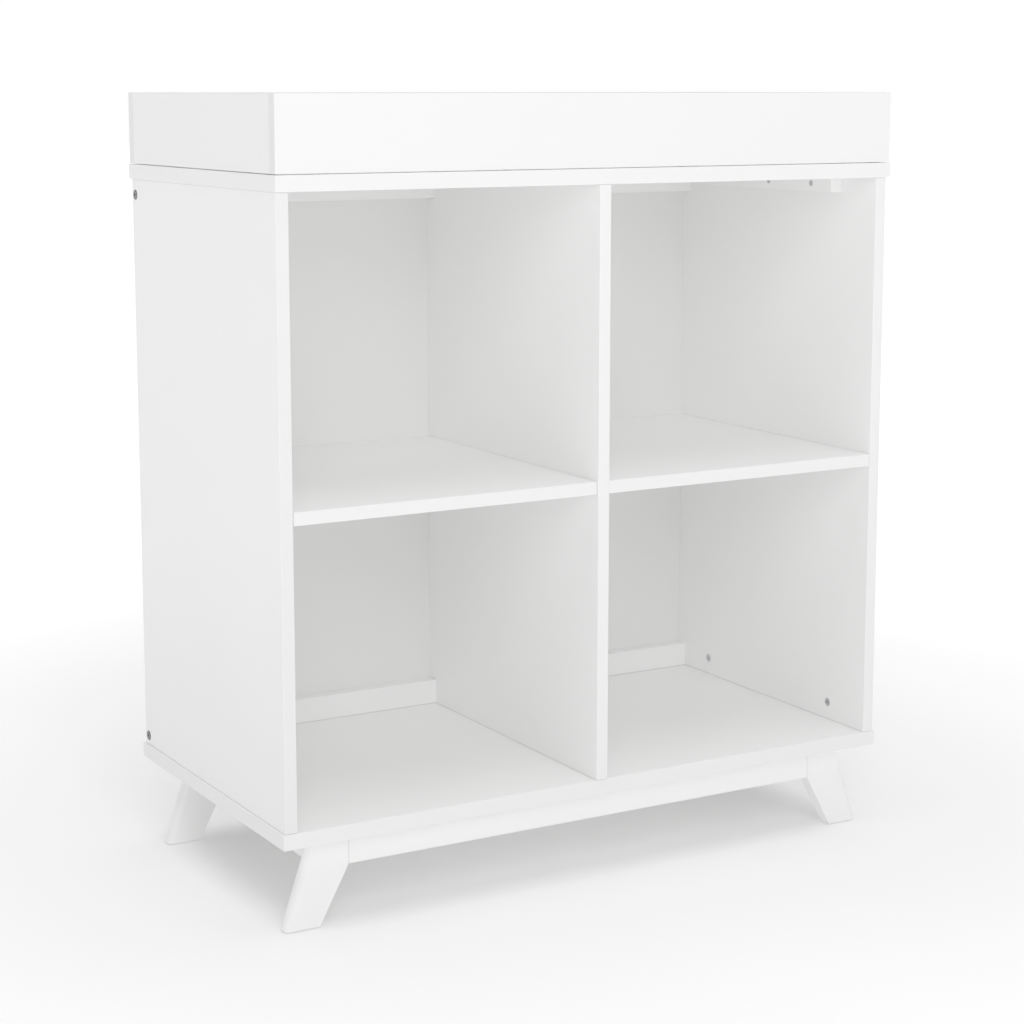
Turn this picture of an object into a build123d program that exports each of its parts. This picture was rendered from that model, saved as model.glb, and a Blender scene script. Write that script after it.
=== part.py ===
from build123d import *
import os

# Changing table: an open four-cubby cabinet on splayed legs, with a lift-off changing tray.
# Millimetres. +Z is up, +X is to the right seen from the front, and the front faces -Y.
# The origin is on the floor, under the middle of the cabinet.

# ---- overall sizes ----
WIDTH = 880.0  # top panel, side to side
DEPTH = 455.0  # top panel, front to rear
HEIGHT = 991.0  # floor to the tray's top edge

# ---- boards ----
CAP_THICKNESS = 19.0  # top panel and bottom panel
SIDE_THICKNESS = 16.0
DIVIDER_THICKNESS = 16.0
SHELF_THICKNESS = 16.0
BACK_THICKNESS = 3.0
EDGE_RADIUS = 0.8  # eased edge on every painted board
FACE_EASE = 0.4  # eased edge of the thin back panel

# ---- reveals: how far each board stands back from the top panel's edges ----
SIDE_REVEAL = 2.4  # side panels, from the left and right edges
CARCASS_REVEAL = 5.5  # side panels and shelves, from the front edge
DIVIDER_REVEAL = 2.5
BOTTOM_REVEAL = 4.5
BACK_REVEAL = 5.5  # front face of the back panel, from the rear edge
BACK_MARGIN = 1.0  # gap round the back panel's outline

# ---- rear rails and top cleats ----
RAIL_THICKNESS = 19.0
RAIL_HEIGHT = 34.0
NOTCH_GAP = 1.0  # play between a rail and its notch in the divider
CLEAT_WIDTH = 19.0
CLEAT_HEIGHT = 22.0
CLEAT_FRONT_GAP = 70.5  # cleat's front end, from the side panel's front edge
CLEAT_REAR_GAP = 70.5  # cleat's rear end, from the back panel

# ---- base ----
BASE_HEIGHT = 112.0  # floor to the bottom panel
GLIDE_PROUD = 1.0  # foot glide below the leg
GLIDE_DIAMETER = 12.0
GLIDE_CHAMFER = 0.4
GLIDE_PIN_DIAMETER = 2.2
GLIDE_PIN_LENGTH = 12.0
LEG_THICKNESS = 19.0
LEG_FOOT_INSET = 9.5  # outer edge of the foot, from the bottom panel's end
LEG_FOOT_WIDTH = 46.0
LEG_TOP_INSET = 47.0  # outer edge of the leg's top, from the bottom panel's end
LEG_TOP_WIDTH = 48.0
LEG_ROUND = 8.0  # rounded outer edge
LEG_EDGE_FLAT = 2.0  # least flat left between the two rounded edges
LEG_EASE = 2.0  # eased edges of the foot
KNEE_RADIUS = 12.0
APRON_THICKNESS = 19.0
APRON_HEIGHT = 38.0
FRONT_LEG_SETBACK = 27.5  # front face of the front legs, from the top panel's front
REAR_LEG_SETBACK = 36.0  # rear face of the rear legs, from the top panel's rear
SIDE_APRON_STEP = 9.0  # outer face, in from the outer edge of the legs' tops

# ---- changing tray ----
TRAY_HEIGHT = 90.0
TRAY_THICKNESS = 16.0
TRAY_SIDE_INSET = 1.0
TRAY_END_INSET = 1.5  # tray's front and rear faces, from the top panel's edges
PAD_THICKNESS = 1.0  # bumper pads that the tray rests on
PAD_LENGTH = 24.0
PAD_WIDTH = 10.0
PAD_CORNER = 2.0
PAD_END_MARGIN = 60.0  # first and last pad, from the tray's corners
LONG_BOARD_PADS = 4

# ---- hardware ----
FIT = 0.1  # radial play of hardware in its bore
OVERCUT = 1.0  # how far a cut runs past the face that it opens on
END_GAP = 1.0  # empty depth past the end of a blind fastener
CAM_DIAMETER = 12.0
CAM_DEPTH = 12.5
CAM_SETBACK = 24.0  # cam centre, from the joint
CAM_RECESS = 0.3  # cam face below the board's face
CAM_SLOT = 1.3  # screwdriver cross in the cam's face
CAM_SLOT_DEPTH = 1.6
CAM_SLOT_REACH = 3.6  # from the cam's centre
CAM_END_MARGIN = 79.0  # cam centre, from the ends of a full-depth board
BOLT_SHANK = 5.0
BOLT_BORE = 7.0
BOLT_THREAD = 6.0
BOLT_THREAD_LENGTH = 11.0
BOLT_NECK = 3.6
BOLT_HEAD = 6.4
BOLT_HEAD_LENGTH = 3.0
HEAD_PLAY = 0.4  # room round the bolt's neck and head inside the cam
DOWEL_DIAMETER = 8.0
DOWEL_CHAMFER = 0.8
DOWEL_IN_EDGE = 19.0  # dowel's depth into a board's edge
DOWEL_IN_FACE = 10.0  # dowel's depth into a board's face
DOWEL_FROM_CAM = 32.0
TRAY_DOWEL_OFFSET = 28.0  # above and below the tray's cam
APRON_DOWEL_OFFSET = 9.5  # above and below an apron's middle
RAIL_BOLT_DIAMETER = 6.0
RAIL_BOLT_PAST_NUT = 5.0  # bolt past the barrel nut's centre
RAIL_BOLT_HEAD = 13.0
RAIL_BOLT_HEAD_THICKNESS = 1.6
RAIL_BOLT_HEAD_CHAMFER = 0.5
RAIL_BOLT_SEAT = 0.8  # depth of the seat that the head drops into
RAIL_BOLT_SEAT_PLAY = 0.3
RAIL_BOLT_BORE = 7.0
RAIL_BOLT_SOCKET = 4.0  # hexagon, across flats
RAIL_BOLT_SOCKET_DEPTH = 1.2
TOP_BOLT_DROP = 20.0  # bolt below the top panel
BOTTOM_BOLT_RISE = 12.5  # bolt above the bottom panel
BARREL_DIAMETER = 10.0
BARREL_LENGTH = 14.0
BARREL_FROM_END = 28.0  # barrel nut's centre, from the rail's end
BARREL_SLOT = 1.2  # screwdriver slot across the nut's end
BARREL_SLOT_DEPTH = 1.5
SCREW_DIAMETER = 4.0
SCREW_HEAD = 8.0
SCREW_HEAD_HEIGHT = 2.4
SCREW_TIP = 4.0
SCREW_POINT = 0.6
SCREW_CROSS = 1.0  # width of the cross's slots
SCREW_CROSS_DEPTH = 1.4
SCREW_CROSS_REACH = 2.2  # from the screw's centre
CLEAT_SCREW_BITE = 10.0  # screws' depth into the side panel
CLEAT_TOP_SCREW_BITE = 11.0  # screws' depth into the top panel
CLEAT_FIRST_SCREW = 44.0  # from the cleat's front end
CLEAT_LAST_SCREW = 69.0  # from the cleat's rear end
CLEAT_SCREWS = 3
RAIL_SCREW_BITE = 26.0  # screws' depth into the divider
BASE_SCREW_BITE = 13.0  # screws' depth into the bottom panel
BASE_SCREW_SINK = 3.0
BASE_SCREW_MARGIN = 70.0  # first and last screw, from an apron's ends
LONG_APRON_SCREWS = 4
SIDE_APRON_SCREWS = 2
NAIL_DIAMETER = 1.6
NAIL_BITE = 15.0  # nails' depth past the back panel
NAIL_HEAD = 5.0
NAIL_HEAD_THICKNESS = 0.8
NAIL_MARGIN = 40.0  # first and last nail up the sides and divider, from the caps
RAIL_NAIL_MARGIN = 90.0
SHELF_NAIL_MARGIN = 60.0
SIDE_NAILS = 7
DIVIDER_NAILS = 6
RAIL_NAILS = 6
SHELF_NAILS = 3

# ---- planes that the boards line up on ----
HALF_W, HALF_D = WIDTH / 2, DEPTH / 2
FRONT, REAR = -HALF_D, HALF_D
BOTTOM_LOW = BASE_HEIGHT
BOTTOM_TOP = BOTTOM_LOW + CAP_THICKNESS
TRAY_LOW = HEIGHT - TRAY_HEIGHT
TOP_TOP = TRAY_LOW - PAD_THICKNESS
TOP_LOW = TOP_TOP - CAP_THICKNESS
SHELF_LOW = (BOTTOM_TOP + TOP_LOW - SHELF_THICKNESS) / 2
SIDE_OUT = HALF_W - SIDE_REVEAL
SIDE_IN = SIDE_OUT - SIDE_THICKNESS
DIVIDER_FACE = DIVIDER_THICKNESS / 2
CARCASS_FRONT = FRONT + CARCASS_REVEAL
BACK_FACE = REAR - BACK_REVEAL
RAIL_FRONT = BACK_FACE - RAIL_THICKNESS
APRON_LOW = BASE_HEIGHT - APRON_HEIGHT
LEG_FRONT = FRONT + FRONT_LEG_SETBACK
LEG_REAR = REAR - REAR_LEG_SETBACK
APRON_END = HALF_W - LEG_TOP_INSET - LEG_TOP_WIDTH

ON_CORNER = (Align.MIN,) * 3
ON_BASE = (Align.CENTER, Align.CENTER, Align.MIN)

boards = {}  # node name: the board before it is drilled
bores = {}  # node name: what is drilled or cut out of it
hardware = {}  # node name: the loose pieces that share the node


# ---- shapes ----
def board(x, y, z, ease=EDGE_RADIUS):
    """A board between two x, two y and two z, with its edges eased."""
    return fillet(block(x, y, z).edges(), ease)


def rod(diameter, low, high):
    """A round bar along the local Z axis."""
    return Pos(0, 0, low) * Cylinder(diameter / 2, high - low, align=ON_BASE)


def taper(start, end, low, high):
    """A round taper along the local Z axis, from one diameter to the other."""
    return Pos(0, 0, low) * Cone(start / 2, end / 2, high - low, align=ON_BASE)


def block(x, y, z):
    """A plain block between two x, two y and two z."""
    return Pos(x[0], y[0], z[0]) * Box(x[1] - x[0], y[1] - y[0], z[1] - z[0], align=ON_CORNER)


def place(origin, z_dir, x_dir=None):
    """Where a fastener's local axes lie: Z along it, and X towards the face that shows it."""
    if x_dir is None:
        x_dir = (1, 0, 0) if z_dir[0] == 0 else (0, 1, 0)
    return Plane(origin=origin, x_dir=x_dir, z_dir=z_dir).location


def spread(low, high, margin, count):
    """Evenly spaced places from low + margin to high - margin."""
    step = (high - low - 2 * margin) / (count - 1)
    return [low + margin + i * step for i in range(count)]


def round_edges(shape):
    """The circular edges of a round bar, from its low end to its high end."""
    return shape.edges().filter_by(GeomType.CIRCLE).sort_by(Axis.Z)


def cross(reach, width, low, high):
    """The two slots of a cross-head, along local Z."""
    slot = block((-reach, reach), (-width / 2, width / 2), (low, high))
    return slot + Rotation(0, 0, 90) * slot


def bore(where, tool, *nodes):
    """Cuts the placed tool out of each named board when the boards are drilled."""
    for node in nodes:
        bores.setdefault(node, []).append(where * tool)


def fit_piece(node, where, piece):
    hardware.setdefault(node, []).append(where * piece)


# ---- fasteners: local Z runs into the board that carries the cam, edge or tip ----
def cam_lock(face):
    """Round cam that grips a bolt's head. Its slotted end is just under the board's face, at x = face."""
    radius = CAM_DIAMETER / 2
    top = face - CAM_RECESS
    neck = BOLT_NECK / 2 + HEAD_PLAY
    head = BOLT_HEAD / 2 + HEAD_PLAY
    disc = rod(CAM_DIAMETER, top - CAM_DEPTH, top)
    slots = cross(CAM_SLOT_REACH, CAM_SLOT, top - CAM_SLOT_DEPTH, top + OVERCUT)
    entry = block((-neck, neck), (-neck, neck), (-radius - OVERCUT, 0))
    pocket = block((-head, head), (-head, head), (-head, head))
    cam = Rotation(0, 90, 0) * (disc - slots) - [entry, pocket]
    return Pos(0, 0, CAM_SETBACK) * cam


def bolt_end(start):
    """The part of a cam bolt from its plain shank to its head, for a cam at CAM_SETBACK from z = 0."""
    rim = CAM_SETBACK - CAM_DIAMETER / 2 - HEAD_PLAY
    head_low = CAM_SETBACK - BOLT_HEAD_LENGTH / 2
    head = rod(BOLT_HEAD, head_low, head_low + BOLT_HEAD_LENGTH)
    return rod(BOLT_SHANK, start, rim) + rod(BOLT_NECK, rim, head_low) + head


def cam_seat(where, face, node):
    """Cuts a cam's round pocket and its bolt's bore into the board that carries the cam."""
    floor = face - CAM_RECESS - CAM_DEPTH - 2 * FIT
    pocket = Rotation(0, 90, 0) * rod(CAM_DIAMETER + 2 * FIT, floor, face + OVERCUT)
    bore(where, Pos(0, 0, CAM_SETBACK) * pocket, node)
    bore(where, rod(BOLT_BORE, -OVERCUT, CAM_SETBACK), node)


def cam_joint(group, node, mate, origin, z_dir, x_dir, thickness):
    """A cam in node pulls it onto mate, by a bolt screwed into mate at origin."""
    where = place(origin, z_dir, x_dir)
    fit_piece(group + "_cam_locks", where, cam_lock(thickness / 2))
    fit_piece(group + "_cam_bolts", where, rod(BOLT_THREAD, -BOLT_THREAD_LENGTH, 0) + bolt_end(0))
    cam_seat(where, thickness / 2, node)
    bore(where, rod(BOLT_THREAD + 2 * FIT, -BOLT_THREAD_LENGTH - END_GAP, OVERCUT), mate)


def dowel(group, node, depth, mate, mate_depth, origin, z_dir):
    """A wooden dowel across the joint at origin, into node along z_dir and into mate the other way."""
    where = place(origin, z_dir)
    pin = rod(DOWEL_DIAMETER, -mate_depth, depth)
    fit_piece(group + "_dowels", where, chamfer(round_edges(pin), DOWEL_CHAMFER))
    bore(where, rod(DOWEL_DIAMETER + 2 * FIT, -mate_depth - END_GAP, depth + END_GAP), node, mate)


def screw(group, nodes, length, origin, z_dir, sink=0.0):
    """A countersunk cross-head screw, driven along z_dir from the face at origin through the nodes."""
    where = place(origin, z_dir)
    neck = SCREW_HEAD_HEIGHT
    body = taper(SCREW_HEAD, SCREW_DIAMETER, 0, neck) + rod(SCREW_DIAMETER, neck, length - SCREW_TIP)
    body += taper(SCREW_DIAMETER, SCREW_POINT, length - SCREW_TIP, length)
    body -= cross(SCREW_CROSS_REACH, SCREW_CROSS, -OVERCUT, SCREW_CROSS_DEPTH)
    fit_piece(group, where * Pos(0, 0, sink), body)
    wide = SCREW_DIAMETER + 2 * FIT
    hole = rod(SCREW_HEAD + 2 * FIT, -OVERCUT, sink + FIT) + rod(wide, sink, sink + length + END_GAP)
    hole += taper(SCREW_HEAD + 2 * FIT, wide, sink + FIT, sink + FIT + neck)
    bore(where, hole, *nodes)


# ---- cabinet carcass ----
SIDES = {"left": -1, "right": 1}
CAM_ROWS = (CARCASS_FRONT + CAM_END_MARGIN, BACK_FACE - CAM_END_MARGIN)
DOWEL_ROWS = (CAM_ROWS[0] + DOWEL_FROM_CAM, CAM_ROWS[1] - DOWEL_FROM_CAM)
SHELF_MIDDLE = SHELF_LOW + SHELF_THICKNESS / 2


def span(sign, inner, outer):
    """The two x of a piece that lies between inner and outer on the side of that sign."""
    return sorted((sign * inner, sign * outer))


def make_carcass():
    boards["top_panel"] = board((-HALF_W, HALF_W), (FRONT, REAR), (TOP_LOW, TOP_TOP))
    low_depth = (FRONT + BOTTOM_REVEAL, REAR)
    boards["bottom_panel"] = board((-HALF_W, HALF_W), low_depth, (BOTTOM_LOW, BOTTOM_TOP))
    upright = (BOTTOM_TOP, TOP_LOW)
    middle = (-DIVIDER_FACE, DIVIDER_FACE)
    boards["center_divider"] = board(middle, (FRONT + DIVIDER_REVEAL, BACK_FACE), upright)
    shelf = (SHELF_LOW, SHELF_LOW + SHELF_THICKNESS)
    for side, sign in SIDES.items():
        depth = (CARCASS_FRONT, BACK_FACE)
        boards[side + "_side_panel"] = board(span(sign, SIDE_IN, SIDE_OUT), depth, upright)
        boards[side + "_shelf"] = board(span(sign, DIVIDER_FACE, SIDE_IN), depth, shelf)
    edge = SIDE_OUT - BACK_MARGIN
    behind = (BACK_FACE, BACK_FACE + BACK_THICKNESS)
    rise = (BOTTOM_TOP + BACK_MARGIN, TOP_LOW - BACK_MARGIN)
    boards["back_panel"] = board((-edge, edge), behind, rise, FACE_EASE)


def join_carcass():
    up, down = (0, 0, 1), (0, 0, -1)
    half_side = SIDE_OUT - SIDE_THICKNESS / 2
    for side, sign in SIDES.items():
        panel = side + "_side_panel"
        shelf = side + "_shelf"
        inward = (-sign, 0, 0)
        for y in CAM_ROWS:
            foot, head = (sign * half_side, y, BOTTOM_TOP), (sign * half_side, y, TOP_LOW)
            shelf_end = (sign * SIDE_IN, y, SHELF_MIDDLE)
            cam_joint("carcass", panel, "bottom_panel", foot, up, inward, SIDE_THICKNESS)
            cam_joint("shelf", shelf, panel, shelf_end, inward, down, SHELF_THICKNESS)
            dowel("carcass", panel, DOWEL_IN_EDGE, "top_panel", DOWEL_IN_FACE, head, down)
        for y in DOWEL_ROWS:
            foot, shelf_end = (sign * half_side, y, BOTTOM_TOP), (sign * SIDE_IN, y, SHELF_MIDDLE)
            dowel("carcass", panel, DOWEL_IN_EDGE, "bottom_panel", DOWEL_IN_FACE, foot, up)
            dowel("shelf", shelf, DOWEL_IN_EDGE, panel, DOWEL_IN_FACE, shelf_end, inward)
    for y in CAM_ROWS:
        for cap, z, way in (("bottom_panel", BOTTOM_TOP, up), ("top_panel", TOP_LOW, down)):
            cam_joint("divider", "center_divider", cap, (0, y, z), way, (1, 0, 0), DIVIDER_THICKNESS)
    for y in DOWEL_ROWS:
        for cap, z, way in (("bottom_panel", BOTTOM_TOP, up), ("top_panel", TOP_LOW, down)):
            dowel("carcass", "center_divider", DOWEL_IN_EDGE, cap, DOWEL_IN_FACE, (0, y, z), way)


def join_shelves_through_divider():
    """Double-ended bolts and long dowels pass through the divider and hold a shelf on each side."""
    for y in CAM_ROWS:
        halves = []
        for side, sign in SIDES.items():
            where = place((sign * DIVIDER_FACE, y, SHELF_MIDDLE), (sign, 0, 0), (0, 0, -1))
            fit_piece("shelf_cam_locks", where, cam_lock(SHELF_THICKNESS / 2))
            cam_seat(where, SHELF_THICKNESS / 2, side + "_shelf")
            halves.append(where * bolt_end(-DIVIDER_FACE))
        fit_piece("divider_through_bolts", Pos(0, 0, 0), halves[0] + halves[1])
        across = place((0, y, SHELF_MIDDLE), (1, 0, 0))
        bore(across, rod(BOLT_BORE, -DIVIDER_FACE - OVERCUT, DIVIDER_FACE + OVERCUT), "center_divider")
    reach = DIVIDER_FACE + DOWEL_IN_EDGE
    for y in DOWEL_ROWS:
        across = place((0, y, SHELF_MIDDLE), (1, 0, 0))
        pin = rod(DOWEL_DIAMETER, -reach, reach)
        fit_piece("shelf_dowels", across, chamfer(round_edges(pin), DOWEL_CHAMFER))
        hole = rod(DOWEL_DIAMETER + 2 * FIT, -reach - END_GAP, reach + END_GAP)
        bore(across, hole, "center_divider", "left_shelf", "right_shelf")


# ---- rear rails, cleats and back panel ----
def make_rails():
    """Two full-width rails in front of the back panel, let into notches in the divider."""
    bolt_y = RAIL_FRONT + RAIL_THICKNESS / 2
    length = RAIL_THICKNESS + RAIL_SCREW_BITE
    rails = {
        "top_rear_rail": (TOP_LOW - RAIL_HEIGHT, TOP_LOW, TOP_LOW - TOP_BOLT_DROP),
        "bottom_rear_rail": (BOTTOM_TOP, BOTTOM_TOP + RAIL_HEIGHT, BOTTOM_TOP + BOTTOM_BOLT_RISE),
    }
    for node, (low, high, bolt_z) in rails.items():
        boards[node] = board((-SIDE_IN, SIDE_IN), (RAIL_FRONT, BACK_FACE), (low, high))
        notch_low = low - (NOTCH_GAP if node == "top_rear_rail" else OVERCUT)
        notch_high = high + (NOTCH_GAP if node == "bottom_rear_rail" else OVERCUT)
        across = (-DIVIDER_FACE - OVERCUT, DIVIDER_FACE + OVERCUT)
        notch = block(across, (RAIL_FRONT, BACK_FACE + OVERCUT), (notch_low, notch_high))
        bore(Pos(0, 0, 0), notch, "center_divider")
        behind = (0, BACK_FACE, (low + high) / 2)
        screw("rail_to_divider_screws", (node, "center_divider"), length, behind, (0, -1, 0))
        for side, sign in SIDES.items():
            rail_bolt(node, side + "_side_panel", (sign * SIDE_OUT, bolt_y, bolt_z), sign)


def rail_bolt(rail, panel, origin, sign):
    """A hexagon-socket bolt through the side panel into a barrel nut. Local Z runs into the rail."""
    where = place(origin, (-sign, 0, 0), (0, 1, 0))
    head_top = RAIL_BOLT_SEAT - RAIL_BOLT_HEAD_THICKNESS
    head = chamfer(round_edges(rod(RAIL_BOLT_HEAD, head_top, RAIL_BOLT_SEAT))[0], RAIL_BOLT_HEAD_CHAMFER)
    socket = extrude(RegularPolygon(RAIL_BOLT_SOCKET / 2, 6, major_radius=False), RAIL_BOLT_SOCKET_DEPTH)
    centre = SIDE_THICKNESS + BARREL_FROM_END
    tip = centre + RAIL_BOLT_PAST_NUT
    bolt = head + rod(RAIL_BOLT_DIAMETER, RAIL_BOLT_SEAT, tip) - Pos(0, 0, head_top) * socket
    fit_piece("rail_bolts", where, bolt)
    bore(where, rod(RAIL_BOLT_HEAD + 2 * RAIL_BOLT_SEAT_PLAY, -OVERCUT, RAIL_BOLT_SEAT), panel)
    bore(where, rod(RAIL_BOLT_BORE, 0, tip + END_GAP), panel, rail)
    # The barrel nut lies across the bolt, in a blind bore from the rail's rear face.
    across = Pos(0, 0, centre) * Rotation(0, 90, 0)
    end = BARREL_LENGTH / 2
    slot_ends = (-BARREL_DIAMETER, BARREL_DIAMETER)
    slot = block((-BARREL_SLOT / 2, BARREL_SLOT / 2), slot_ends, (end - BARREL_SLOT_DEPTH, end + OVERCUT))
    nut = across * (rod(BARREL_DIAMETER, -end, end) - slot)
    thread = rod(RAIL_BOLT_DIAMETER + 2 * FIT, centre - BARREL_DIAMETER, centre + BARREL_DIAMETER)
    fit_piece("rail_barrel_nuts", where, nut - thread)
    seat = across * rod(BARREL_DIAMETER + 2 * FIT, -BARREL_LENGTH / 2 - FIT, RAIL_THICKNESS)
    bore(where, seat, rail)


def make_cleats():
    """Cleats under the top panel, screwed to the side panels and up into the top."""
    front, rear = CARCASS_FRONT + CLEAT_FRONT_GAP, BACK_FACE - CLEAT_REAR_GAP
    low = TOP_LOW - CLEAT_HEIGHT
    screw_rows = spread(front + CLEAT_FIRST_SCREW, rear - CLEAT_LAST_SCREW, 0, CLEAT_SCREWS)
    side_screw = CLEAT_WIDTH + CLEAT_SCREW_BITE
    top_screw = CLEAT_HEIGHT + CLEAT_TOP_SCREW_BITE
    for side, sign in SIDES.items():
        node = side + "_top_cleat"
        face = SIDE_IN - CLEAT_WIDTH
        boards[node] = board(span(sign, face, SIDE_IN), (front, rear), (low, TOP_LOW))
        for y in screw_rows:
            start = (sign * face, y, low + CLEAT_HEIGHT / 2)
            screw("cleat_side_screws", (node, side + "_side_panel"), side_screw, start, (sign, 0, 0))
        for before, after in zip(screw_rows, screw_rows[1:]):
            start = (sign * (face + CLEAT_WIDTH / 2), (before + after) / 2, low)
            screw("cleat_top_screws", (node, "top_panel"), top_screw, start, (0, 0, 1))


def nail(host, x, z):
    """A headed nail through the back panel into the edge behind it."""
    where = place((x, BACK_FACE + BACK_THICKNESS, z), (0, -1, 0))
    length = BACK_THICKNESS + NAIL_BITE
    head = rod(NAIL_HEAD, -NAIL_HEAD_THICKNESS, 0)
    fit_piece("back_panel_nails", where, head + rod(NAIL_DIAMETER, 0, length))
    bore(where, rod(NAIL_DIAMETER + 2 * FIT, -OVERCUT, length + END_GAP), "back_panel", host)


def nail_back_panel():
    for side, sign in SIDES.items():
        for z in spread(BOTTOM_TOP, TOP_LOW, NAIL_MARGIN, SIDE_NAILS):
            nail(side + "_side_panel", sign * (SIDE_OUT - SIDE_THICKNESS / 2), z)
        for x in spread(DIVIDER_FACE, SIDE_IN, SHELF_NAIL_MARGIN, SHELF_NAILS):
            nail(side + "_shelf", sign * x, SHELF_MIDDLE)
    for z in spread(BOTTOM_TOP, TOP_LOW, NAIL_MARGIN, DIVIDER_NAILS):
        nail("center_divider", 0, z)
    for x in spread(-SIDE_IN, SIDE_IN, RAIL_NAIL_MARGIN, RAIL_NAILS):
        nail("top_rear_rail", x, TOP_LOW - RAIL_HEIGHT / 2)
        nail("bottom_rear_rail", x, BOTTOM_TOP + RAIL_HEIGHT / 2)


# ---- base ----
def leg_blank(low_y):
    """A splayed leg on the +X side: a flat board with a rounded outer edge and a bent inner edge."""
    outer_foot, outer_top = HALF_W - LEG_FOOT_INSET, HALF_W - LEG_TOP_INSET
    outline = Polyline(
        (outer_foot, GLIDE_PROUD),
        (outer_top, BASE_HEIGHT),
        (APRON_END, BASE_HEIGHT),
        (APRON_END, APRON_LOW),
        (outer_foot - LEG_FOOT_WIDTH, GLIDE_PROUD),
        close=True,
    )
    face = make_face(outline)
    knee = face.vertices().sort_by_distance((APRON_END, APRON_LOW))[0]
    face = fillet(knee, KNEE_RADIUS)
    leg = extrude(Plane.XZ.offset(-low_y) * face, -LEG_THICKNESS)
    slanted = [e for e in leg.edges() if on_outer_edge(e)]
    leg = fillet(slanted, min(LEG_ROUND, (LEG_THICKNESS - LEG_EDGE_FLAT) / 2))
    foot = leg.faces().sort_by(Axis.Z)[0]
    return fillet(foot.edges(), LEG_EASE)


def on_outer_edge(edge):
    """True for the two long edges of the leg's slanted outer side."""
    rise = edge.bounding_box().size.Z
    return rise > BASE_HEIGHT - 2 * GLIDE_PROUD and edge.center().X > APRON_END + LEG_TOP_WIDTH / 2


def make_base():
    aprons = (APRON_LOW, BASE_HEIGHT)
    lines = {
        "front": (LEG_FRONT, LEG_FRONT + LEG_THICKNESS),
        "rear": (LEG_REAR - LEG_THICKNESS, LEG_REAR),
    }
    middle_z = (APRON_LOW + BASE_HEIGHT) / 2
    dowel_rows = (middle_z - APRON_DOWEL_OFFSET, middle_z + APRON_DOWEL_OFFSET)
    side_middle = HALF_W - LEG_TOP_INSET - SIDE_APRON_STEP - APRON_THICKNESS / 2
    for row, (low_y, high_y) in lines.items():
        # An apron's outer face is flush with the legs' outer faces.
        inner_y, way = (high_y, 1) if row == "front" else (low_y, -1)
        outer_y = low_y + high_y - inner_y
        depth = sorted((outer_y, outer_y + way * APRON_THICKNESS))
        middle_y = sum(depth) / 2
        boards[row + "_apron"] = board((-APRON_END, APRON_END), depth, aprons)
        for side, sign in SIDES.items():
            node = row + "_" + side + "_leg"
            leg = leg_blank(low_y)
            boards[node] = leg if sign > 0 else mirror(leg, about=Plane.YZ)
            for z in dowel_rows:
                end = (sign * APRON_END, middle_y, z)
                dowel("base", row + "_apron", DOWEL_IN_EDGE, node, DOWEL_IN_EDGE, end, (-sign, 0, 0))
                butt = (sign * side_middle, inner_y, z)
                side_apron = side + "_side_apron"
                dowel("base", side_apron, DOWEL_IN_EDGE, node, DOWEL_IN_FACE, butt, (0, way, 0))
            foot_glide(node, sign * (HALF_W - LEG_FOOT_INSET - LEG_FOOT_WIDTH / 2), (low_y + high_y) / 2)
        for x in spread(-APRON_END, APRON_END, BASE_SCREW_MARGIN, LONG_APRON_SCREWS):
            base_screw(row + "_apron", x, middle_y)
    for side, sign in SIDES.items():
        node = side + "_side_apron"
        across = span(sign, side_middle - APRON_THICKNESS / 2, side_middle + APRON_THICKNESS / 2)
        ends = (lines["front"][1], lines["rear"][0])
        boards[node] = board(across, ends, aprons)
        for y in spread(*ends, BASE_SCREW_MARGIN, SIDE_APRON_SCREWS):
            base_screw(node, sign * side_middle, y)


def base_screw(apron, x, y):
    """A screw sunk into the apron's lower edge, up into the bottom panel."""
    length = APRON_HEIGHT - BASE_SCREW_SINK + BASE_SCREW_BITE
    screw("base_screws", (apron, "bottom_panel"), length, (x, y, APRON_LOW), (0, 0, 1), BASE_SCREW_SINK)


def foot_glide(leg, x, y):
    """A nail-on glide: a domed disc under the foot and a pin up into it."""
    where = Pos(x, y, 0)
    disc = chamfer(round_edges(rod(GLIDE_DIAMETER, 0, GLIDE_PROUD))[0], GLIDE_CHAMFER)
    pin_top = GLIDE_PROUD + GLIDE_PIN_LENGTH
    fit_piece("foot_glides", where, disc + rod(GLIDE_PIN_DIAMETER, GLIDE_PROUD, pin_top))
    bore(where, rod(GLIDE_PIN_DIAMETER + 2 * FIT, 0, pin_top + END_GAP), leg)


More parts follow.
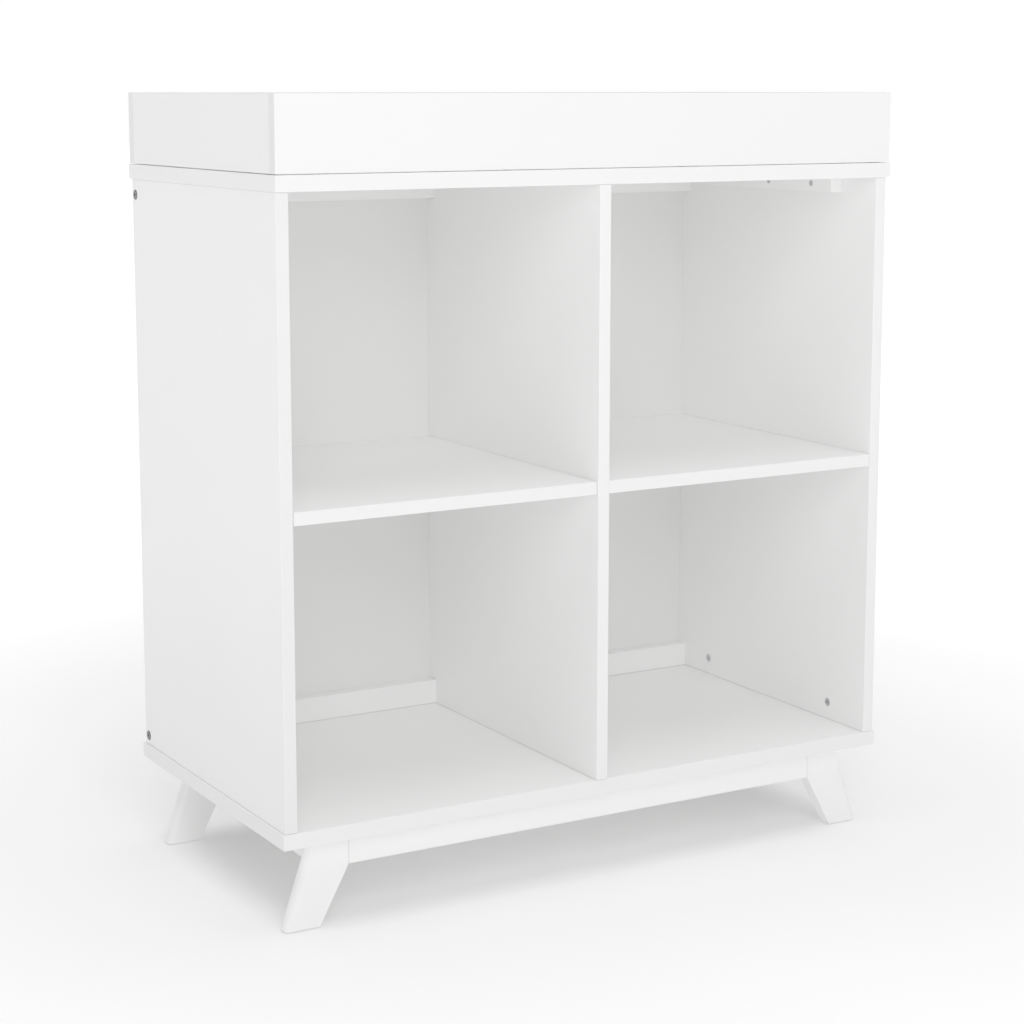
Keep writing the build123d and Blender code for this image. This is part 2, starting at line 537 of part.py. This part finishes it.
# ---- changing tray ----
def make_tray():
    """A bottomless frame on the top panel: long front and rear boards, with the sides between them."""
    edge = HALF_W - TRAY_SIDE_INSET
    front, rear = FRONT + TRAY_END_INSET, REAR - TRAY_END_INSET
    rise = (TRAY_LOW, HEIGHT)
    boards["tray_front_board"] = board((-edge, edge), (front, front + TRAY_THICKNESS), rise)
    boards["tray_rear_board"] = board((-edge, edge), (rear - TRAY_THICKNESS, rear), rise)
    inner = (front + TRAY_THICKNESS, rear - TRAY_THICKNESS)
    middle_z = (TRAY_LOW + HEIGHT) / 2
    centre_x = edge - TRAY_THICKNESS / 2
    for side, sign in SIDES.items():
        node = "tray_" + side + "_board"
        boards[node] = board(span(sign, edge - TRAY_THICKNESS, edge), inner, rise)
        for mate, y, way in (("tray_front_board", inner[0], 1), ("tray_rear_board", inner[1], -1)):
            corner = (sign * centre_x, y, middle_z)
            cam_joint("tray", node, mate, corner, (0, way, 0), (-sign, 0, 0), TRAY_THICKNESS)
            for z in (middle_z - TRAY_DOWEL_OFFSET, middle_z + TRAY_DOWEL_OFFSET):
                dowel("tray", node, DOWEL_IN_EDGE, mate, DOWEL_IN_FACE, (corner[0], y, z), (0, way, 0))
        bumper_pad(sign * centre_x, 0, 90)
    for x in spread(-edge, edge, PAD_END_MARGIN, LONG_BOARD_PADS):
        for y in (front + TRAY_THICKNESS / 2, rear - TRAY_THICKNESS / 2):
            bumper_pad(x, y, 0)


def bumper_pad(x, y, turn):
    """A thin pad stuck under the tray, between it and the top panel."""
    pad = extrude(RectangleRounded(PAD_LENGTH, PAD_WIDTH, PAD_CORNER), PAD_THICKNESS)
    fit_piece("tray_bumper_pads", Pos(x, y, TOP_TOP) * Rotation(0, 0, turn), pad)


# ---- build and write ----
def write(node, pieces):
    solids = [solid for piece in pieces for solid in piece.solids()]
    shape = solids[0] if len(solids) == 1 else Compound(children=solids)
    export_step(shape, os.path.join("parts", node + ".step"))


make_carcass()
join_carcass()
join_shelves_through_divider()
make_rails()
make_cleats()
nail_back_panel()
make_base()
make_tray()

os.makedirs("parts", exist_ok=True)
for node, blank in boards.items():
    write(node, [blank - bores[node]])
for node, pieces in hardware.items():
    write(node, pieces)
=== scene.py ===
import math

import bpy
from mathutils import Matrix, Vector


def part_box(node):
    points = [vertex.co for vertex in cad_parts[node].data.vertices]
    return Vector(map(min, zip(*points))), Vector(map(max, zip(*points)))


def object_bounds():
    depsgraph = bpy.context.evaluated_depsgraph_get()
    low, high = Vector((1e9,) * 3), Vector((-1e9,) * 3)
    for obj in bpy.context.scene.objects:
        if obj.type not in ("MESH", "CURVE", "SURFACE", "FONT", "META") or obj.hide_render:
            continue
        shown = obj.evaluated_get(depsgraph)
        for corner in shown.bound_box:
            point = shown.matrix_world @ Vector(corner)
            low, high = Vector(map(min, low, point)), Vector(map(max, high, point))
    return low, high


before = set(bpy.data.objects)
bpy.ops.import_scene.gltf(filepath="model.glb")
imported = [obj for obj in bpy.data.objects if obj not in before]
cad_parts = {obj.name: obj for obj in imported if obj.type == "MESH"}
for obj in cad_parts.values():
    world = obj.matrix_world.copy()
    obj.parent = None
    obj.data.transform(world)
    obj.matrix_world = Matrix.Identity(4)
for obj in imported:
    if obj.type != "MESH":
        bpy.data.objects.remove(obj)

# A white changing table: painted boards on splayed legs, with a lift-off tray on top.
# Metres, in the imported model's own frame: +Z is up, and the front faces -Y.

CAD_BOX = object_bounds()
MIDDLE = (CAD_BOX[0] + CAD_BOX[1]) / 2

# ---- camera ----
CAMERA_PLACE = (-1.4975, -2.571, 0.9965)
CAMERA_TURN = -30.2  # degrees from straight ahead, to the right
CAMERA_TILT = -8.8  # degrees above level
CAMERA_LENS = 80.0  # mm on a 36 mm sensor
CAMERA_SHIFT = -0.07  # share of the frame's width

# ---- light ----
HORIZON_LIGHT = 1.0  # the studio's white surround, from the floor up to HORIZON_TOP
ZENITH_LIGHT = 0.14  # the dimmer ceiling, above ZENITH_START
HORIZON_TOP = 0.08  # heights on a ball of radius 1
ZENITH_START = 0.28  # where the ceiling is as dim as it gets
KEY_AZIMUTH = -21.0  # degrees from straight in front, to the left
KEY_ELEVATION = 29.0
KEY_DISTANCE = 4.3
KEY_SIZE = 2.2
KEY_POWER = 60.0
CEILING_STRENGTH = 1.75
CEILING_SPREAD = 60.0  # degrees, how soft its shadows are
LIGHT_BOUNCES = 12  # white cubbies need many
TONE_GAMMA = 1.62  # lifts the mid tones, as a high-key print does

# ---- floor ----
FLOOR_RADIUS = 40.0
FLOOR_FADE_START = 0.55  # metres from the middle, where the floor's painted glow starts to rise, so it fades into the surround
FLOOR_FADE_END = 2.2
FLOOR_FADE_GLOW = 0.45
FLOOR_GLOW = 0.03  # the floor's painted glow near the object

# ---- paint ----
PAINT = (0.89, 0.89, 0.887)
EDGE_TONE = 0.88  # board edges read duller than their faces
HARDBOARD = (0.77, 0.77, 0.765)
TONE_STEP = 0.004  # boards differ this much from one to the next
TONES = 4
PAINTED_SHADE_OF = {"tray_": 0.90, "left_side": 0.93}  # painted shade: these boards get darker paint, for shade the lights don't give
# Painted shade: a dark line along each board end that butts another board, standing in for shadow in the
# joint's gap.
JOINT_SHADE_WIDTH = 0.0013  # metres from a board's butted end that the painted joint shade reaches
JOINT_SHADE_TONE = 0.42
LOW, HIGH = 0, -1  # a board's ends, as places in its sorted corners
BUTTED_ENDS = {  # part of a node's name -> the axis and the ends that meet other boards
    "shelf": (0, (LOW, HIGH)),
    "front_apron": (0, (LOW, HIGH)),
    "divider": (2, (LOW, HIGH)),
    "side_panel": (2, (LOW, HIGH)),
    "bottom_rear_rail": (2, (LOW,)),
}
MOTTLE = 0.012  # the paint's own lighter and darker patches
BOARD_PATCHES = 5.0  # patches for each metre
WOOD_PATCHES = 7.0
BOARD_ROUGHNESS = (0.34, 0.42)
EDGE_ROUGHNESS = 0.10  # that much rougher on the edges
WOOD_ROUGHNESS = (0.36, 0.46)
PAINT_SPECULAR = 0.42
GRAIN_SQUEEZE = 0.045  # how far the grain's noise is drawn out along the wood
SCREEN_SCALE = 150.0  # of the wires pressed into the hardboard's rear face
SCREEN_WAVER = 0.6


# ---- node helpers ----
def new_material(name):
    """An empty node material with its shader and output joined."""
    material = bpy.data.materials.new(name)
    material.use_nodes = True
    nodes = material.node_tree.nodes
    nodes.clear()
    shader = nodes.new("ShaderNodeBsdfPrincipled")
    output = nodes.new("ShaderNodeOutputMaterial")
    material.node_tree.links.new(shader.outputs["BSDF"], output.inputs["Surface"])
    return material, shader


def link(material, source, target):
    material.node_tree.links.new(source, target)


def place_on(material, stretch=(1, 1, 1)):
    """The surface point in metres, stretched so that a texture runs along a board's grain."""
    nodes = material.node_tree.nodes
    where = nodes.new("ShaderNodeTexCoord")
    scaled = nodes.new("ShaderNodeMapping")
    scaled.inputs["Scale"].default_value = stretch
    link(material, where.outputs["Object"], scaled.inputs["Vector"])
    return scaled.outputs["Vector"]


def noise(material, vector, scale, detail=2.0, roughness=0.5):
    texture = material.node_tree.nodes.new("ShaderNodeTexNoise")
    texture.inputs["Scale"].default_value = scale
    texture.inputs["Detail"].default_value = detail
    texture.inputs["Roughness"].default_value = roughness
    link(material, vector, texture.inputs["Vector"])
    return texture.outputs["Fac"]


def spread(material, value, low, high):
    """A texture's 0.3 to 0.7 mapped to the two given numbers."""
    remap = material.node_tree.nodes.new("ShaderNodeMapRange")
    remap.inputs["From Min"].default_value = 0.3
    remap.inputs["From Max"].default_value = 0.7
    remap.inputs["To Min"].default_value = low
    remap.inputs["To Max"].default_value = high
    link(material, value, remap.inputs["Value"])
    return remap.outputs["Result"]


def two_tone(material, value, dark, light):
    """A colour between dark and light, by a texture."""
    ramp = material.node_tree.nodes.new("ShaderNodeValToRGB")
    ramp.color_ramp.elements[0].position = 0.3
    ramp.color_ramp.elements[0].color = (*dark, 1)
    ramp.color_ramp.elements[1].position = 0.7
    ramp.color_ramp.elements[1].color = (*light, 1)
    link(material, value, ramp.inputs["Fac"])
    return ramp.outputs["Color"]


def combine(material, operation, *values):
    """Numbers and constants put together by a math node."""
    node = material.node_tree.nodes.new("ShaderNodeMath")
    node.operation = operation
    for slot, value in zip(node.inputs, values):
        if isinstance(value, (int, float)):
            slot.default_value = value
        else:
            link(material, value, slot)
    return node.outputs["Value"]


def darken(material, colour, share, factor):
    """The colour, multiplied by the factor where the share is 1."""
    nodes = material.node_tree.nodes
    amount = nodes.new("ShaderNodeMapRange")
    amount.inputs["To Min"].default_value = 1.0
    amount.inputs["To Max"].default_value = factor
    link(material, share, amount.inputs["Value"])
    scaled = nodes.new("ShaderNodeVectorMath")
    scaled.operation = "SCALE"
    link(material, colour, scaled.inputs[0])
    link(material, amount.outputs["Result"], scaled.inputs["Scale"])
    return scaled.outputs["Vector"]


def painted_joint_shade(material, point, axis, end):
    """1 at a butted end of the board, 0 beyond the painted joint shade."""
    nodes = material.node_tree.nodes
    split = nodes.new("ShaderNodeSeparateXYZ")
    link(material, point, split.inputs["Vector"])
    off = combine(material, "ABSOLUTE", combine(material, "SUBTRACT", split.outputs[axis], end), 0)
    share = nodes.new("ShaderNodeMapRange")
    share.inputs["From Max"].default_value = JOINT_SHADE_WIDTH
    share.inputs["To Min"].default_value = 1.0
    share.inputs["To Max"].default_value = 0.0
    link(material, off, share.inputs["Value"])
    return share.outputs["Result"]


def across(material, axis):
    """1 on the faces that look along that axis, 0 on the faces that look across it."""
    nodes = material.node_tree.nodes
    where = nodes.new("ShaderNodeTexCoord")
    dot = nodes.new("ShaderNodeVectorMath")
    dot.operation = "DOT_PRODUCT"
    dot.inputs[1].default_value = axis
    link(material, where.outputs["Normal"], dot.inputs[0])
    return combine(material, "ABSOLUTE", dot.outputs["Value"], 0)


def raise_surface(material, shader, layers):
    """Chains bumps: each layer is a height texture, its strength and its depth in metres."""
    below = None
    for height, strength, depth in layers:
        bump = material.node_tree.nodes.new("ShaderNodeBump")
        bump.inputs["Strength"].default_value = strength
        bump.inputs["Distance"].default_value = depth
        link(material, height, bump.inputs["Height"])
        if below is not None:
            link(material, below, bump.inputs["Normal"])
        below = bump.outputs["Normal"]
    link(material, below, shader.inputs["Normal"])


def shade(colour, factor):
    return tuple(channel * factor for channel in colour)


def painted(material, point, patch_scale, tone_and_shade):
    """The paint's faintly patchy colour."""
    patches = noise(material, point, patch_scale, 4.0, 0.55)
    return two_tone(material, patches, shade(PAINT, tone_and_shade * (1 - MOTTLE)), shade(PAINT, tone_and_shade))


def paint_joint_shade(material, point, colour, joints):
    """The colour with a dark line of painted shade at each end that meets another board."""
    for axis, end in joints:
        colour = darken(material, colour, painted_joint_shade(material, point, axis, end), JOINT_SHADE_TONE)
    return colour


# ---- materials ----
def painted_board(name, thin_axis, tone_and_shade, joints):
    """Sprayed satin paint on fibreboard: fine orange peel, and duller, rougher edges."""
    material, shader = new_material(name)
    point = place_on(material)
    edge = combine(material, "SUBTRACT", 1, across(material, thin_axis))
    colour = darken(material, painted(material, point, BOARD_PATCHES, tone_and_shade), edge, EDGE_TONE)
    # painted shade lines at the butted joints go into the base colour
    link(material, paint_joint_shade(material, point, colour, joints), shader.inputs["Base Color"])
    smears = spread(material, noise(material, point, 38.0, 3.0), *BOARD_ROUGHNESS)
    roughness = combine(material, "MULTIPLY_ADD", edge, EDGE_ROUGHNESS, smears)
    link(material, roughness, shader.inputs["Roughness"])
    fibres = noise(material, point, 1400.0, 2.0)
    raise_surface(material, shader, [
        (noise(material, point, 14.0, 1.0), 0.25, 0.0006),
        (noise(material, point, 420.0, 1.5), 0.12, 0.00012),
        (combine(material, "MULTIPLY", fibres, edge), 0.30, 0.00012),
    ])
    shader.inputs["Specular IOR Level"].default_value = PAINT_SPECULAR
    shader.inputs["Coat Weight"].default_value = 0.10
    shader.inputs["Coat Roughness"].default_value = 0.22
    return material


def painted_solid_wood(name, grain_axis, tone_and_shade, joints):
    """The same paint on solid wood: the grain shows through as faint long ridges."""
    material, shader = new_material(name)
    stretch = tuple(GRAIN_SQUEEZE if i == grain_axis else 1.0 for i in range(3))
    point = place_on(material)
    grain_point = place_on(material, stretch)
    colour = painted(material, point, WOOD_PATCHES, tone_and_shade)
    # painted shade lines at the butted joints go into the base colour
    link(material, paint_joint_shade(material, point, colour, joints), shader.inputs["Base Color"])
    grain = noise(material, grain_point, 330.0, 3.0, 0.6)
    link(material, spread(material, grain, *WOOD_ROUGHNESS), shader.inputs["Roughness"])
    raise_surface(material, shader, [
        (noise(material, point, 16.0, 1.0), 0.3, 0.0007),
        (grain, 0.22, 0.00018),
        (noise(material, point, 460.0, 1.5), 0.12, 0.00012),
    ])
    shader.inputs["Specular IOR Level"].default_value = PAINT_SPECULAR
    shader.inputs["Coat Weight"].default_value = 0.08
    shader.inputs["Coat Roughness"].default_value = 0.25
    return material


def white_hardboard(name):
    """Thin hardboard: a smooth white face inside, and the press's fine screen pattern behind."""
    material, shader = new_material(name)
    point = place_on(material)
    patches = noise(material, point, 4.0, 4.0, 0.6)
    colour = two_tone(material, patches, shade(HARDBOARD, 1 - 1.6 * MOTTLE), HARDBOARD)
    link(material, colour, shader.inputs["Base Color"])
    smears = noise(material, point, 60.0, 3.0)
    link(material, spread(material, smears, 0.5, 0.62), shader.inputs["Roughness"])
    nodes = material.node_tree.nodes
    where = nodes.new("ShaderNodeTexCoord")
    split = nodes.new("ShaderNodeSeparateXYZ")
    link(material, where.outputs["Normal"], split.inputs["Vector"])
    behind = combine(material, "MAXIMUM", split.outputs["Y"], 0)
    weave = []
    for direction in ("X", "Z"):
        wires = nodes.new("ShaderNodeTexWave")
        wires.wave_type = "BANDS"
        wires.bands_direction = direction
        wires.inputs["Scale"].default_value = SCREEN_SCALE
        wires.inputs["Distortion"].default_value = SCREEN_WAVER
        link(material, point, wires.inputs["Vector"])
        weave.append(wires.outputs["Fac"])
    screen = combine(material, "MULTIPLY", combine(material, "MULTIPLY", *weave), behind)
    raise_surface(material, shader, [
        (noise(material, point, 9.0, 2.0), 0.3, 0.0008),
        (noise(material, point, 520.0, 2.0), 0.15, 0.0001),
        (screen, 0.6, 0.0004),
    ])
    return material


def beech(name):
    """Bare fluted dowels."""
    material, shader = new_material(name)
    grain = noise(material, place_on(material, (1.0, 1.0, 0.12)), 260.0, 5.0, 0.6)
    colour = two_tone(material, grain, (0.50, 0.33, 0.17), (0.68, 0.50, 0.30))
    link(material, colour, shader.inputs["Base Color"])
    link(material, spread(material, grain, 0.55, 0.75), shader.inputs["Roughness"])
    raise_surface(material, shader, [(grain, 0.5, 0.0002)])
    return material


def metal(name, dark, light, rough, grain_scale, depth):
    """Zinc, cast or plated: mottled tone and a finely pitted or polished surface."""
    material, shader = new_material(name)
    point = place_on(material)
    cloud = noise(material, point, grain_scale, 4.0, 0.6)
    link(material, two_tone(material, cloud, dark, light), shader.inputs["Base Color"])
    smears = noise(material, point, 2.3 * grain_scale, 2.0)
    link(material, spread(material, smears, *rough), shader.inputs["Roughness"])
    raise_surface(material, shader, [(noise(material, point, 5.0 * grain_scale, 2.0), 0.35, depth)])
    shader.inputs["Metallic"].default_value = 1.0
    return material


def nylon(name):
    """Moulded glides: slightly waxy, scuffed where they meet the floor."""
    material, shader = new_material(name)
    point = place_on(material)
    scuffs = noise(material, point, 900.0, 4.0, 0.65)
    colour = two_tone(material, scuffs, (0.70, 0.70, 0.68), (0.82, 0.82, 0.80))
    link(material, colour, shader.inputs["Base Color"])
    link(material, spread(material, scuffs, 0.35, 0.6), shader.inputs["Roughness"])
    raise_surface(material, shader, [(scuffs, 0.3, 0.00008)])
    shader.inputs["Subsurface Weight"].default_value = 0.15
    shader.inputs["Subsurface Scale"].default_value = 0.001
    return material


def soft_pad(name):
    """Clear self-adhesive pads, slightly cloudy."""
    material, shader = new_material(name)
    point = place_on(material)
    cloud = noise(material, point, 240.0, 3.0)
    colour = two_tone(material, cloud, (0.62, 0.62, 0.61), (0.74, 0.74, 0.73))
    link(material, colour, shader.inputs["Base Color"])
    link(material, spread(material, cloud, 0.25, 0.4), shader.inputs["Roughness"])
    raise_surface(material, shader, [(noise(material, point, 700.0, 2.0), 0.2, 0.00006)])
    shader.inputs["Transmission Weight"].default_value = 0.35
    shader.inputs["IOR"].default_value = 1.47
    return material


# ---- which node gets which ----
def size_order(node):
    """A node's axes from its thinnest to its longest."""
    low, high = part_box(node)
    return sorted(range(3), key=lambda i: (high - low)[i])


def axis_vector(axis):
    return tuple(1.0 if i == axis else 0.0 for i in range(3))


SHARED = {
    "white_hardboard": white_hardboard("white_hardboard_faced"),
    "beech_dowel": beech("beech_bare"),
    "zinc_cam": metal("zinc_cast", (0.42, 0.43, 0.44), (0.60, 0.61, 0.62), (0.38, 0.52), 420.0, 0.00006),
    "zinc_steel": metal("zinc_bright", (0.40, 0.41, 0.42), (0.56, 0.57, 0.58), (0.24, 0.36), 600.0, 0.00003),
    "dark_zinc_bolt": metal(
        "zinc_dark", (0.05, 0.05, 0.055), (0.11, 0.11, 0.115), (0.30, 0.42), 500.0, 0.00004),
    "nylon_glide": nylon("nylon_moulded"),
    "clear_pad": soft_pad("clear_pad_soft"),
}


def butted_ends(node, piece):
    """The board's ends that meet another board, in its own coordinates."""
    ends = []
    for part, (axis, sides) in BUTTED_ENDS.items():
        if part in node:
            reach = sorted(corner[axis] for corner in piece.bound_box)
            ends += [(axis, reach[side]) for side in sides]
    return ends


def finish_for(node, piece, slot_name, index):
    tone_and_shade = 1.0 - TONE_STEP * (index % TONES)
    # Painted shade: the tray and the left side panel are painted darker, for shade the lights don't give.
    for part, factor in PAINTED_SHADE_OF.items():
        if node.startswith(part):
            tone_and_shade *= factor
    joints = butted_ends(node, piece)
    order = size_order(node)
    if slot_name == "painted_board":
        return painted_board("paint_" + node, axis_vector(order[0]), tone_and_shade, joints)
    if slot_name == "painted_solid_wood":
        return painted_solid_wood("paint_" + node, order[-1], tone_and_shade, joints)
    return SHARED[slot_name]


def dress_nodes():
    for index, (node, piece) in enumerate(sorted(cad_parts.items())):
        for slot in piece.material_slots:
            slot.material = finish_for(node, piece, slot.material.name.split(".")[0], index)


# ---- studio ----
def make_floor():
    """A wide pale floor with a faint, even texture. It glows, as painted light, faintly near the object and
    more far from it, so it fades into the white surround.
    """
    material, shader = new_material("studio_floor")
    point = place_on(material)
    cloud = noise(material, point, 1.5, 3.0)
    colour = two_tone(material, cloud, (0.93, 0.93, 0.93), (0.95, 0.95, 0.95))
    link(material, colour, shader.inputs["Base Color"])
    reach = material.node_tree.nodes.new("ShaderNodeVectorMath")
    reach.operation = "LENGTH"
    link(material, point, reach.inputs[0])
    glow_by_reach = material.node_tree.nodes.new("ShaderNodeMapRange")
    glow_by_reach.interpolation_type = "SMOOTHSTEP"
    glow_by_reach.inputs["From Min"].default_value = FLOOR_FADE_START
    glow_by_reach.inputs["From Max"].default_value = FLOOR_FADE_END
    glow_by_reach.inputs["To Min"].default_value = FLOOR_GLOW
    glow_by_reach.inputs["To Max"].default_value = FLOOR_FADE_GLOW
    link(material, reach.outputs["Value"], glow_by_reach.inputs["Value"])
    # Painted light: the floor's emission, rising with distance from the middle.
    link(material, glow_by_reach.outputs["Result"], shader.inputs["Emission Strength"])
    shader.inputs["Emission Color"].default_value = (1, 1, 1, 1)
    shader.inputs["Roughness"].default_value = 0.9
    shader.inputs["Specular IOR Level"].default_value = 0.1
    floor_at = (0, 0, CAD_BOX[0].z)
    bpy.ops.mesh.primitive_circle_add(vertices=96, radius=FLOOR_RADIUS, fill_type="NGON", location=floor_at)
    floor = bpy.context.object
    floor.name = "studio_floor"
    floor.data.materials.append(material)


def make_world():
    """A white surround that is dimmer overhead."""
    world = bpy.data.worlds.new("studio_world")
    world.use_nodes = True
    nodes, links = world.node_tree.nodes, world.node_tree.links
    where = nodes.new("ShaderNodeTexCoord")
    split = nodes.new("ShaderNodeSeparateXYZ")
    ramp = nodes.new("ShaderNodeMapRange")
    ramp.interpolation_type = "SMOOTHSTEP"
    ramp.inputs["From Min"].default_value = HORIZON_TOP
    ramp.inputs["From Max"].default_value = ZENITH_START
    ramp.inputs["To Min"].default_value = HORIZON_LIGHT
    ramp.inputs["To Max"].default_value = ZENITH_LIGHT
    links.new(where.outputs["Generated"], split.inputs["Vector"])
    links.new(split.outputs["Z"], ramp.inputs["Value"])
    background = nodes["Background"]
    background.inputs["Color"].default_value = (1, 1, 1, 1)
    links.new(ramp.outputs["Result"], background.inputs["Strength"])
    bpy.context.scene.world = world


def make_key_light():
    """A large soft box in front, to the left and above, that faces the object."""
    azimuth, elevation = math.radians(KEY_AZIMUTH), math.radians(KEY_ELEVATION)
    flat = math.cos(elevation)
    towards = Vector((math.sin(azimuth) * flat, -math.cos(azimuth) * flat, math.sin(elevation)))
    lamp = bpy.data.lights.new("key_light", "AREA")
    lamp.size = KEY_SIZE
    lamp.energy = KEY_POWER
    holder = bpy.data.objects.new("key_light", lamp)
    holder.location = MIDDLE + towards * KEY_DISTANCE
    holder.rotation_euler = towards.to_track_quat("Z", "Y").to_euler()
    bpy.context.scene.collection.objects.link(holder)


def make_ceiling_light():
    """Very soft light from straight above."""
    lamp = bpy.data.lights.new("ceiling_light", "SUN")
    lamp.energy = CEILING_STRENGTH
    lamp.angle = math.radians(CEILING_SPREAD)
    holder = bpy.data.objects.new("ceiling_light", lamp)
    holder.location = (0, 0, 2 * CAD_BOX[1].z)
    bpy.context.scene.collection.objects.link(holder)


def make_camera():
    lens = bpy.data.cameras.new("camera")
    lens.lens = CAMERA_LENS
    lens.shift_y = CAMERA_SHIFT
    camera = bpy.data.objects.new("camera", lens)
    camera.location = CAMERA_PLACE
    camera.rotation_euler = (math.radians(90 + CAMERA_TILT), 0, math.radians(CAMERA_TURN))
    bpy.context.scene.collection.objects.link(camera)
    bpy.context.scene.camera = camera


dress_nodes()
make_floor()
make_world()
make_key_light()
make_ceiling_light()
make_camera()
bpy.context.scene.view_settings.view_transform = "Standard"
bpy.context.scene.view_settings.gamma = TONE_GAMMA
bpy.context.scene.cycles.diffuse_bounces = LIGHT_BOUNCES
